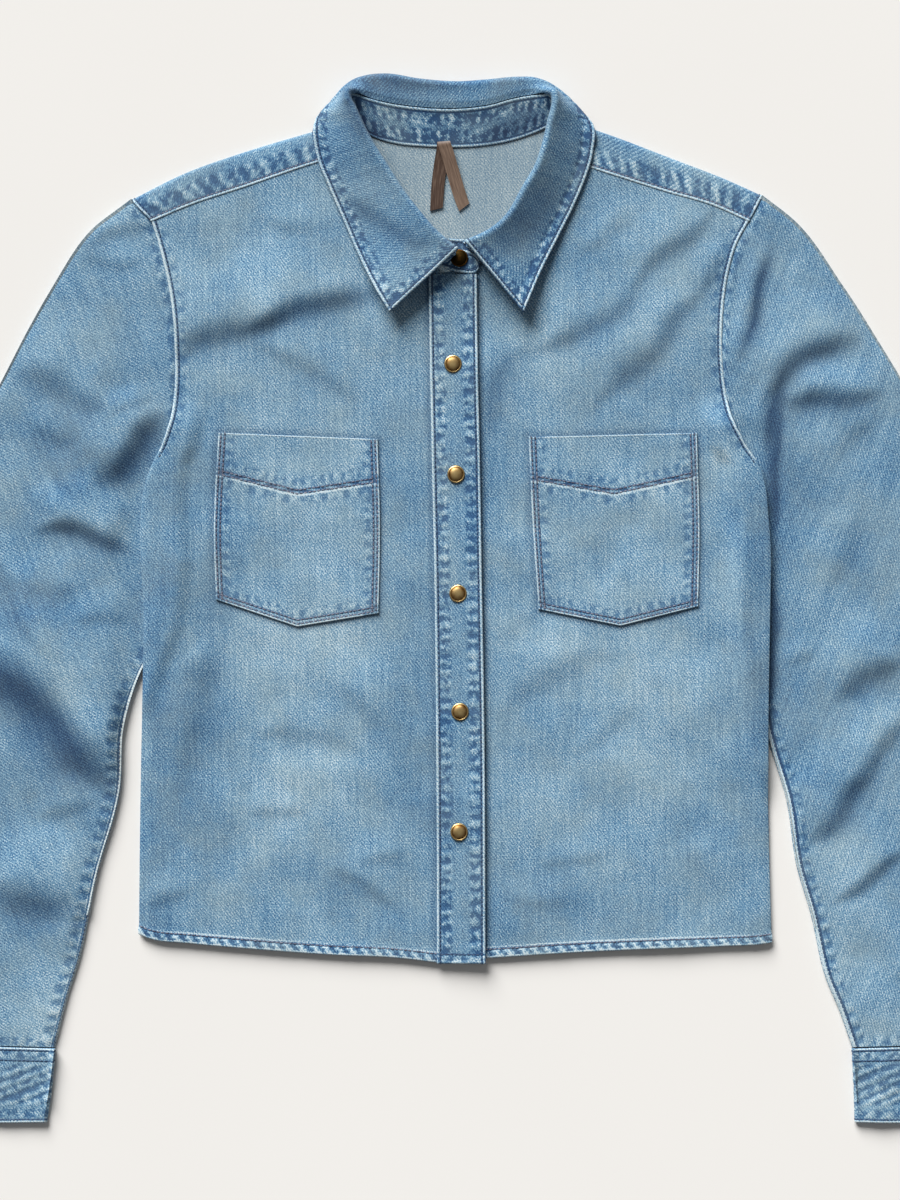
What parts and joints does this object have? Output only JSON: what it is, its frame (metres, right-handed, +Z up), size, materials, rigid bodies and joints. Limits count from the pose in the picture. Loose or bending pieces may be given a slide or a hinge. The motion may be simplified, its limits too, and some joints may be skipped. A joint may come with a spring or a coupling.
{
  "type": "denim shirt",
  "caption": "Denim shirt with a pointed collar, patch chest pockets, a snapped placket and cuffed sleeves, laid flat on its back with the sleeves beside it.",
  "frame": {"origin": "on the surface that the shirt lies on, at the centre of its box in plan", "axes": "+X to the right of someone looking down at the front of the shirt (the wearer's left), +Y from hem to collar, +Z up, out of the fronts"},
  "size_m": [0.8122, 0.7364, 0.0145],
  "materials": {
    "back": "washed denim",
    "yoke": "washed denim",
    "front_right": "washed denim",
    "front_left": "washed denim",
    "placket": "washed denim, doubled",
    "pocket_right": "washed denim",
    "pocket_left": "washed denim",
    "sleeve_right": "washed denim",
    "sleeve_left": "washed denim",
    "cuff_right": "washed denim, doubled",
    "cuff_left": "washed denim, doubled",
    "collar_stand": "washed denim, doubled",
    "collar_leaf": "washed denim, doubled",
    "neck_label": "satin ribbon",
    "snap_1": "aged brass",
    "snap_2": "aged brass",
    "snap_3": "aged brass",
    "snap_4": "aged brass",
    "snap_5": "aged brass",
    "snap_6": "aged brass",
    "snap_cuff_right": "aged brass",
    "snap_cuff_left": "aged brass"
  },
  "bodies": {
    "root": {"back": "back", "yoke": "yoke", "front_right": "front_right", "front_left": "front_left", "placket": "placket", "pocket_right": "pocket_right", "pocket_left": "pocket_left", "sleeve_right": "sleeve_right", "sleeve_left": "sleeve_left", "cuff_right": "cuff_right", "cuff_left": "cuff_left", "collar_stand": "collar_stand", "collar_leaf": "collar_leaf", "neck_label": "neck_label", "snap_1": "snap_1", "snap_2": "snap_2", "snap_3": "snap_3", "snap_4": "snap_4", "snap_5": "snap_5", "snap_6": "snap_6", "snap_cuff_right": "snap_cuff_right", "snap_cuff_left": "snap_cuff_left"}
  },
  "joints": []
}
